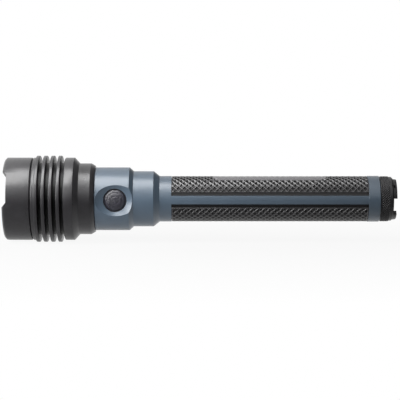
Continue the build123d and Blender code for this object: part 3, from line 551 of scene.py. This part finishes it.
# %% Dress the parts that keep their engineering shape
kept_parts = {
    "barrel": blue_anodized, "switch_retaining_ring": black_anodized, "tail_retaining_ring": black_anodized,
    "lens": lens_glass, "lens_gasket": seal_rubber, "reflector": mirror_coat,
    "led_centering_ring": white_plastic, "led_board": board_green, "led_base": white_plastic,
    "led_dome": phosphor_dome, "led_board_screws": steel,
    "heat_sink": bare_aluminium, "led_leads": lead_insulation, "driver_board": board_green,
    "driver_chips": chip_black, "driver_capacitors": capacitor_tan, "driver_inductor": ferrite,
    "driver_retaining_ring": bare_aluminium, "face_cap_o_ring": seal_rubber, "head_o_ring": seal_rubber,
    "button_o_ring": seal_rubber, "tail_o_ring": seal_rubber, "tact_plunger": white_plastic,
    "tact_switch": chip_black, "switch_board": board_green, "switch_carrier": white_plastic,
    "switch_leads": lead_insulation, "contact_board": board_green, "contact_post": brass,
    "positive_lead": lead_insulation, "front_cell": cell_can, "front_cell_terminal": nickel,
    "rear_cell": cell_can, "rear_cell_terminal": nickel, "tail_contact": brass, "tail_spring": nickel,
}
for part_name, finish in kept_parts.items():
    part_mesh = nodes[part_name].data
    part_mesh.materials.clear()
    part_mesh.materials.append(finish)
print("parts dressed as they are:", len(kept_parts))


# %% [markdown]
# ## Turned pieces
# The outside of the lamp comes off a lathe, and Blender's spin operator is a lathe: it sweeps an outline
# round an axis. The outline's corners are bevelled before it is swept, which is far cheaper than bevelling
# the finished solid, and gives every rim the small broken edge that catches the light.

# %% A lathe
least_corner = math.radians(25)
least_run = 2.2  # shortest run beside a bevelled corner, in widths of the broken edge


def lathe(outline, steps, phase=0.0, broken_edge=0.12):
    """Turns a closed outline of (station, radius) points in mm about the X axis."""
    turned = bmesh.new()
    start = Matrix.Rotation(math.radians(phase), 3, "X")
    rim = [turned.verts.new(start @ Vector((x * MM, r * MM, 0))) for x, r in outline]
    for near, far in zip(rim, rim[1:] + rim[:1]):
        turned.edges.new((near, far))
    corners = []
    for before, here, after in zip(rim[-1:] + rim[:-1], rim, rim[1:] + rim[:1]):
        runs = (here.co - before.co, after.co - here.co)
        room = min(run.length for run in runs) > least_run * broken_edge * MM
        if room and runs[0].angle(runs[1]) > least_corner and here.co.yz.length > MM:
            corners.append(here)
    bmesh.ops.bevel(
        turned, geom=corners, offset=broken_edge * MM, segments=2, profile=0.5, affect="VERTICES",
        material=-1,
    )
    bmesh.ops.spin(
        turned, geom=turned.verts[:] + turned.edges[:], cent=(0, 0, 0), axis=(1, 0, 0), angle=math.tau,
        steps=steps, use_merge=True,
    )
    bmesh.ops.remove_doubles(turned, verts=turned.verts, dist=0.0001 * MM)
    bmesh.ops.recalc_face_normals(turned, faces=turned.faces)
    return turned


# %% Angles round the lamp
def angle_of(place):
    """Degrees about +X, from +Y towards +Z."""
    return math.degrees(math.atan2(place.z, place.y))


def off_middle(angle, middle, repeat=120):
    """How far an angle is from the nearest middle of a shape that repeats, three times a turn unless told."""
    return (angle - middle + repeat / 2) % repeat - repeat / 2


# %% A finishing bench
def bench(shape, name, body, finish, stands_for, sharp=20):
    """Makes a piece of a finished bmesh, which rides on a body and stands for one engineering part."""
    bmesh.ops.delete(shape, geom=[e for e in shape.edges if not e.link_faces], context="EDGES")
    piece_mesh = bpy.data.meshes.new(name)
    shape.to_mesh(piece_mesh)
    shape.free()
    piece_mesh.shade_smooth()
    piece_mesh.set_sharp_from_angle(angle=math.radians(sharp))
    piece_mesh.materials.append(finish)
    piece = bpy.data.objects.new(name, piece_mesh)
    bpy.context.scene.collection.objects.link(piece)
    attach(piece, body)
    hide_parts(stands_for)
    print(name, len(piece_mesh.polygons), "faces")


# %% [markdown]
# ## Face cap
# A ring that screws on and clamps the lens. Three wide notches in its front edge let light out when the lamp
# stands on its face. The ring is turned with one column of vertices for each degree, so the notches' corners
# fall exactly on columns: vertices in front of a notch's floor are then pushed back to it.

# %% Turn the face cap and cut its notches
face_x, face_cap_end = -121.0, -104.2
notch_depth, notch_floor_half, notch_mouth_half, notch_middle = 2.5, 20.5, 27.5, 161.3
notched_end = -117.5  # vertices nearer the face than this station are moved
bezel = lathe([
    (face_x, 23.07), (face_x, 24.4), (-119.8, 25.6), (-104.6, 25.6), (face_cap_end, 25.2),
    (face_cap_end, 24.17), (-116.8, 24.17), (-116.8, 21.87), (-119.8, 21.87),
], steps=360, phase=0.8, broken_edge=0.1)
for vert in bezel.verts:
    away = abs(off_middle(angle_of(vert.co), notch_middle))
    cut = min(1.0, max(0.0, (notch_mouth_half - away) / (notch_mouth_half - notch_floor_half)))
    if vert.co.x < notched_end * MM:
        vert.co.x = max(vert.co.x, (face_x + cut * notch_depth) * MM)
bench(bezel, "notched_face_cap", "face_cap_thread", black_anodized, "face_cap")

# %% [markdown]
# ## Head
# One long turning: the threaded spigot that the face cap screws on, four cooling fins, a band, a cone and the
# neck ring. Its outline is written station by station, as on the drawing.

# %% The head's outline
fin_start, fin_pitch, fin_width = -101.65, 4.53, 2.15
fin_count, fin_floor, fin_rim, fin_chamfer = 4, 22.3, 26.8, 0.25
band_radius, spigot_radius, socket_radius = 25.6, 24.07, 20.0
thread_count, thread_depth, thread_land = 4, 0.45, 0.02


def thread_grooves(start, pitch, radius):
    """Outline points of a row of V grooves that stand for a thread."""
    points = []
    for turn_number in range(thread_count):
        x = start + turn_number * pitch
        points += [(x, radius), (x + pitch / 2, radius - thread_depth), (x + pitch - thread_land, radius)]
    return points


head_outline = [(-112.0, 22.47), (-112.0, spigot_radius)]
head_outline += thread_grooves(-111.6, 1.0, spigot_radius)
head_outline += [(-106.75, spigot_radius), (-106.75, 22.97), (-105.45, 22.97), (-105.45, spigot_radius)]
head_outline += [(-103.85, spigot_radius), (-103.85, band_radius - 0.6), (-103.25, band_radius)]
for fin in range(fin_count):
    front = fin_start + fin * fin_pitch
    back = front + fin_width
    head_outline += [
        (front, band_radius if fin == 0 else fin_floor), (front, fin_rim - fin_chamfer),
        (front + fin_chamfer, fin_rim), (back - fin_chamfer, fin_rim), (back, fin_rim - fin_chamfer),
        (back, fin_floor),
    ]
head_outline += [
    (-83.9, fin_floor), (-83.9, 25.2), (-83.5, band_radius), (-78.1, band_radius), (-74.9, 22.04),
    (-67.8, 22.04), (-65.3, 20.5), (-65.3, 17.1), (-74.8, 17.1), (-74.8, socket_radius),
    (-106.39, socket_radius), (-106.39, 22.47),
]
print("points in the head's outline:", len(head_outline))

# %% Turn the head
head = lathe(head_outline, steps=240)
bench(head, "finned_head", "lamp_body", fin_black_shaded, "head_housing")

# %% [markdown]
# ## Knurling
# The grips are covered by a net of raised ridges with a small pit in each mesh of it. A flat grid turned by
# 45 degrees and scaled is already such a net: each face is one mesh. Each face is inset once for the flat
# crest of its ridges, then again and sunk for its pit, and only then is the flat sheet bent round the lamp.
# A face that was cut small gets a shallower pit or none, because an even inset would fold it over itself.

# %% A net of diamonds
snap_reach, pit_depth, least_pit_room, pit_floor_room, even_pit_room = 0.002, 0.78, 0.4, 0.3, 1


def diamond_sheet(count, period_x, period_y, shift_x, shift_y):
    """A flat net of diamonds in mm, centred on the origin and moved by a shift."""
    sheet = bmesh.new()
    bmesh.ops.create_grid(sheet, x_segments=count, y_segments=count, size=count / 2)
    half_diagonal = 1 / math.sqrt(2)
    placing = (
        Matrix.Translation((shift_x * MM, shift_y * MM, 0))
        @ Matrix.Diagonal((period_x * half_diagonal * MM, period_y * half_diagonal * MM, 1, 1))
        @ Matrix.Rotation(math.radians(45), 4, "Z")
    )
    bmesh.ops.transform(sheet, matrix=placing, verts=sheet.verts)
    return sheet


def once_each(elements):
    """The same elements with no repeats, in the same order, so that every run cuts alike."""
    return list(dict.fromkeys(elements))


def cut_line(sheet, place, normal, keep_outside=True, within=None):
    """Cuts the sheet along a line given in mm. Faces in front of the line go unless they are kept."""
    faces = [f for f in sheet.faces if within is None or within(f.calc_center_median() / MM)]
    touched = faces + [e for f in faces for e in f.edges] + [v for f in faces for v in f.verts]
    bmesh.ops.bisect_plane(
        sheet, geom=once_each(touched), dist=snap_reach * MM, plane_co=Vector((*place, 0)) * MM,
        plane_no=(*normal, 0), clear_outer=not keep_outside,
    )


def room_in(face):
    """How far a face could be inset, in mm, before it vanishes."""
    return 2 * face.calc_area() / face.calc_perimeter() / MM


def sink_pit(sheet, face):
    """Sinks one pit, as deep as the face has room for, with walls at 45 degrees."""
    room = room_in(face)
    if room > least_pit_room:
        fall = min(pit_depth, room - pit_floor_room) * MM
        bmesh.ops.inset_individual(
            sheet, faces=[face], thickness=fall, depth=-fall, use_even_offset=room > even_pit_room,
        )


# %% [markdown]
# ## Grip pads
# Two rubber shells fill the pockets between the barrel's ribs. Along each rib runs a smooth border, and the
# knurled crown stands above it. The upper pad also has a smooth panel for a label, which is left bare. The
# same function makes both pads, so their patterns meet the ribs alike.

# %% The pads' sizes
pad_start, pad_end = -17.9, 103.35
pad_base, pad_floor, pad_top = 12.21, 13.06, 14.06
rib_width, rib_radius, pad_side_gap = 5.5, 14.16, 0.24
pad_half_angle = 90 - math.degrees(math.asin(rib_width / 2 / rib_radius)) - pad_side_gap
crown_half_angle, meshes_round = 70.15, 9
net_x, net_y = 3.702, math.radians(2 * crown_half_angle / meshes_round) * pad_top
net_knot_x, net_count, net_shift_y, lower_net_shift_x = -13.4, 48, 0.35 * net_y, 0.7
weld_reach, crest_half_width, crest_edge = 0.12, 0.13, 0.07
least_mesh_room, whole_mesh_room = 0.3, 1.2
crown_wall, crown_edge = (0.06, 0.88), (0.1, 0.12)  # inset in mm, and share of the rise
half_round = math.radians(pad_half_angle) * pad_top
crown_half_round = meshes_round / 2 * net_y
panel_half_round = 2.0 * net_y
panel_corner = 3.3
print("the net's meshes are", round(net_x, 2), "by", round(net_y, 2), "mm")


# %% The label panel's outline
def in_panel(point, margin=0.0):
    """Whether a flat point in mm is inside the label panel, whose corners are clipped."""
    inside_x = min(point.x - panel_start, panel_end - point.x) + margin
    inside_y = panel_half_round - abs(point.y) + margin
    return inside_x > 0 and inside_y > 0 and inside_x + inside_y > panel_corner


def cut_panel(sheet):
    """Cuts the panel's outline into the flat sheet: two sides, two ends and four clipped corners."""
    def near_panel(point):
        return in_panel(point, margin=net_x)

    for way in (-1, 1):
        cut_line(sheet, (0, way * panel_half_round), (0, way), within=near_panel)
    for end, way in ((panel_start, -1), (panel_end, 1)):
        cut_line(sheet, (end, 0), (way, 0), within=near_panel)
        for across in (-1, 1):
            corner = (end - way * panel_corner, across * panel_half_round)

            def near_corner(point, corner=corner):
                return max(abs(point.x - corner[0]), abs(point.y - corner[1])) < 2 * panel_corner

            cut_line(sheet, corner, (way, across), within=near_corner)


panel_length, panel_width = panel_end - panel_start, 2 * panel_half_round
print("the panel is", round(panel_length, 1), "by", round(panel_width, 1), "mm")


# %% The pads' shape
def grip_pad_shape(side, panel):
    """A knurled shell. Side is 1 for the upper pad and -1 for the lower one."""
    middle_x = (pad_start + pad_end) / 2
    shift_x = net_knot_x + round((middle_x - net_knot_x) / net_x) * net_x
    sheet = diamond_sheet(net_count, net_x, net_y, shift_x + (0 if panel else lower_net_shift_x), net_shift_y)
    cut_line(sheet, (pad_start, 0), (-1, 0), keep_outside=False)
    cut_line(sheet, (pad_end, 0), (1, 0), keep_outside=False)
    for way in (-1, 1):
        cut_line(sheet, (0, way * half_round), (0, way), keep_outside=False)
        cut_line(sheet, (0, way * crown_half_round), (0, way))
    if panel:
        cut_panel(sheet)
    bmesh.ops.remove_doubles(sheet, verts=sheet.verts, dist=weld_reach * MM)
    under = bmesh.ops.duplicate(sheet, geom=sheet.verts[:] + sheet.edges[:] + sheet.faces[:])["geom"]
    under_verts = [v for v in under if isinstance(v, bmesh.types.BMVert)]
    under_faces = {f for f in under if isinstance(f, bmesh.types.BMFace)}
    bmesh.ops.translate(sheet, verts=under_verts, vec=(0, 0, (pad_base - pad_floor) * MM))
    crown = [
        f for f in sheet.faces
        if f not in under_faces and abs(f.calc_center_median().y) < crown_half_round * MM
    ]
    bmesh.ops.bridge_loops(sheet, edges=[e for e in sheet.edges if e.is_boundary])
    rise = (pad_top - pad_floor) * MM
    for thickness, share in (crown_wall, crown_edge):
        bmesh.ops.inset_region(
            sheet, faces=crown, thickness=thickness * MM, depth=share * rise, use_even_offset=True,
            use_boundary=True,
        )
    knurled = [f for f in crown if not (panel and in_panel(f.calc_center_median() / MM))]
    meshes = [f for f in knurled if room_in(f) > least_mesh_room]
    whole = [f for f in meshes if len(f.verts) == 4 and room_in(f) > whole_mesh_room]
    for faces, even in ((whole, True), ([f for f in meshes if f not in whole], False)):
        bmesh.ops.inset_individual(sheet, faces=faces, thickness=crest_half_width * MM, use_even_offset=even)
    rims = once_each(edge for face in meshes for edge in face.edges)
    for face in meshes:
        sink_pit(sheet, face)
    bmesh.ops.bevel(
        sheet, geom=rims, offset=crest_edge * MM, segments=1, profile=0.5, affect="EDGES", material=-1,
        clamp_overlap=True,
    )
    for vert in sheet.verts:
        turn_angle = vert.co.y / (pad_top * MM)
        radius = pad_floor * MM + vert.co.z
        vert.co.y, vert.co.z = -radius * math.sin(turn_angle), side * radius * math.cos(turn_angle)
    bmesh.ops.recalc_face_normals(sheet, faces=sheet.faces)
    if sheet.calc_volume(signed=True) < 0:
        bmesh.ops.reverse_faces(sheet, faces=sheet.faces)
    return sheet


# %% Make both pads
upper_pad = grip_pad_shape(1, panel=True)
bench(upper_pad, "grip_pad_with_panel", "lamp_body", grip_rubber, "grip_pad_top", sharp=24)
lower_pad = grip_pad_shape(-1, panel=False)
bench(lower_pad, "grip_pad_plain", "lamp_body", grip_rubber, "grip_pad_bottom", sharp=24)

# %% [markdown]
# ## Tail cap
# The tail cap is turned too, with a fine knurled band to hold it by. The band is so fine that its diamonds
# are made in a cheaper way: the band's vertices are pressed in along two families of slanting lines,
# which leaves rows of little pyramids. Three lobes are then extruded from the end face, and a lanyard hole is
# opened through each by deleting its faces inside and out and bridging the two openings.

# %% The tail cap's outline
tail_steps, tail_phase, tail_spigot_radius, tail_neck_radius = 360, 0.3, 10.5, 13.55
band_start, band_end, band_top, band_low, band_rows = 111.35, 116.4, 14.1, 13.55, 13
band_chamfer, band_land = 0.4, 0.25
step_radius, lobe_floor_x, pocket_radius, pocket_x = 13.65, 118.9, 9.6, 117.4
knurled_length = band_end - band_start - 2 * band_land
band_stations = [band_start + band_land + row * knurled_length / (band_rows - 1) for row in range(band_rows)]
tail_outline = [(100.75, 8.3), (100.75, tail_spigot_radius)]
tail_outline += thread_grooves(101.15, 1.25, tail_spigot_radius)
tail_outline += [
    (108.25, tail_spigot_radius), (108.25, 9.4), (109.55, 9.4), (109.55, tail_spigot_radius),
    (111.05, tail_spigot_radius), (111.05, tail_neck_radius), (band_start, tail_neck_radius),
    (band_start, band_top - band_chamfer),
]
tail_outline += [(x, band_top) for x in band_stations]
tail_outline += [
    (band_end, band_top - band_chamfer), (band_end, step_radius), (117.9, step_radius), (118.2, step_radius),
    (118.2, 13.1), (lobe_floor_x, 13.0), (lobe_floor_x, pocket_radius), (117.9, pocket_radius),
    (pocket_x, pocket_radius), (pocket_x, 0.0), (115.75, 0.0), (115.75, 8.3),
]
print("points in the tail cap's outline:", len(tail_outline))

# %% Turn it and press the knurl
tail = lathe(tail_outline, steps=tail_steps, phase=tail_phase, broken_edge=0.08)
row_gap, column_gap, row_slack = band_stations[2] - band_stations[0], 3.0, 0.1
band_floor = 13.8
for vert in tail.verts:
    row = (vert.co.x / MM - band_stations[0]) / row_gap
    if -row_slack < row < (band_rows - 1) / 2 + row_slack and vert.co.yz.length > band_floor * MM:
        column = (angle_of(vert.co) - tail_phase) / column_gap
        slants = ((row + column) / 2, (row - column) / 2)
        press = max(1 - 2 * abs(slant - round(slant)) for slant in slants)
        vert.co.yz *= 1 - press * (1 - band_low / band_top)
print("the band's diamonds are", round(row_gap, 2), "mm by", column_gap, "degrees")


# %% How a lobe is raised
lobe_count, lobe_middle, lobe_half_angle = 3, 141.3, 35
lobe_steps = ((119.9, 12.86), (120.75, 12.74), (121.0, 12.5))  # station, and radius of the outer edge
lobe_split_radius = 12  # a lobe's vertices farther out than this are on its outer edge
hole_start, hole_end, hole_inner_radius, hole_half_angle = 117.9, 119.9, 9.5, 5
hole_rim_half_angle = 8


def from_lobe(place, lobe):
    """Degrees from the middle of one lobe."""
    return off_middle(angle_of(place), lobe_middle + lobe * 360 / lobe_count, repeat=360)


def raise_lobes(shape, start_x, end_x, outer):
    """Extrudes the lobes' faces from one station to the next, and sets the radius of their outer edge."""
    tops = [
        f for f in shape.faces
        if abs(f.calc_center_median().x - start_x * MM) < 1e-6 and abs(f.normal.x) > 0.99
        and f.calc_center_median().yz.length > pocket_radius * MM
        and abs(off_middle(angle_of(f.calc_center_median()), lobe_middle)) < lobe_half_angle
    ]
    raised = bmesh.ops.extrude_face_region(shape, geom=tops)["geom"]
    bmesh.ops.delete(shape, geom=tops, context="FACES_ONLY")
    raised_verts = [v for v in raised if isinstance(v, bmesh.types.BMVert)]
    bmesh.ops.translate(shape, verts=raised_verts, vec=((end_x - start_x) * MM, 0, 0))
    for vert in raised_verts:
        if vert.co.yz.length > lobe_split_radius * MM:
            vert.co.yz *= outer * MM / vert.co.yz.length


# %% Raise the lobes and open the lanyard holes
lobe_x = lobe_floor_x
for next_x, outer_radius in lobe_steps:
    tail.normal_update()
    raise_lobes(tail, lobe_x, next_x, outer_radius)
    lobe_x = next_x
for lobe in range(lobe_count):
    doomed = []
    for face in tail.faces:
        middle = face.calc_center_median()
        across = abs(from_lobe(middle, lobe)) < hole_half_angle
        along = hole_start * MM < middle.x < hole_end * MM
        if across and along and middle.yz.length > hole_inner_radius * MM:
            doomed.append(face)
    bmesh.ops.delete(tail, geom=doomed, context="FACES")
open_edges = [e for e in tail.edges if e.is_boundary]
for lobe in range(lobe_count):
    ring = [
        e for e in open_edges
        if abs(from_lobe((e.verts[0].co + e.verts[1].co) / 2, lobe)) < hole_rim_half_angle
    ]
    bmesh.ops.bridge_loops(tail, edges=ring)
bmesh.ops.recalc_face_normals(tail, faces=tail.faces)
bench(tail, "knurled_tail_cap", "tail_cap_thread", tail_black_shaded, "tail_cap", sharp=24)

# %% [markdown]
# ## Switch button
# A rubber button with a shallow dome. Two soft round grooves in it help a gloved finger find its middle. It
# is turned on the same lathe as the rest, then stood up so that its axis looks out through the switch.

# %% Turn the button
switch_x, button_radius, button_edge = -52.6, 6.5, 15.965
dome_points, dome_drop, dome_rise = 32, 0.8, 1.8
dome_grooves = ((4.6, 0.35, 0.13), (2.4, 0.3, 0.11))  # radius, half width and depth
button_outline = [
    (12.165, 0.0), (12.165, 6.87), (12.965, 6.87), (12.965, button_radius), (13.72, button_radius),
    (13.72, 5.58), (14.82, 5.58), (14.82, button_radius),
]
for step in range(dome_points + 1):
    climb = math.radians(90 * step / dome_points)
    r = button_radius * math.cos(climb) if step < dome_points else 0.0
    groove = sum(depth * math.exp(-((r - at) / half_width) ** 2) for at, half_width, depth in dome_grooves)
    button_outline.append((button_edge - dome_drop + dome_rise * math.sin(climb) - groove, r))
button = lathe(button_outline, steps=96, broken_edge=0.1)
stand_up = Matrix.Translation((switch_x * MM, 0, 0)) @ Matrix.Rotation(math.radians(-90), 4, "Z")
bmesh.ops.transform(button, matrix=stand_up, verts=button.verts)
bench(button, "domed_button", "button", button_rubber, "switch_button", sharp=35)

# %% Finish
print("scene finished")
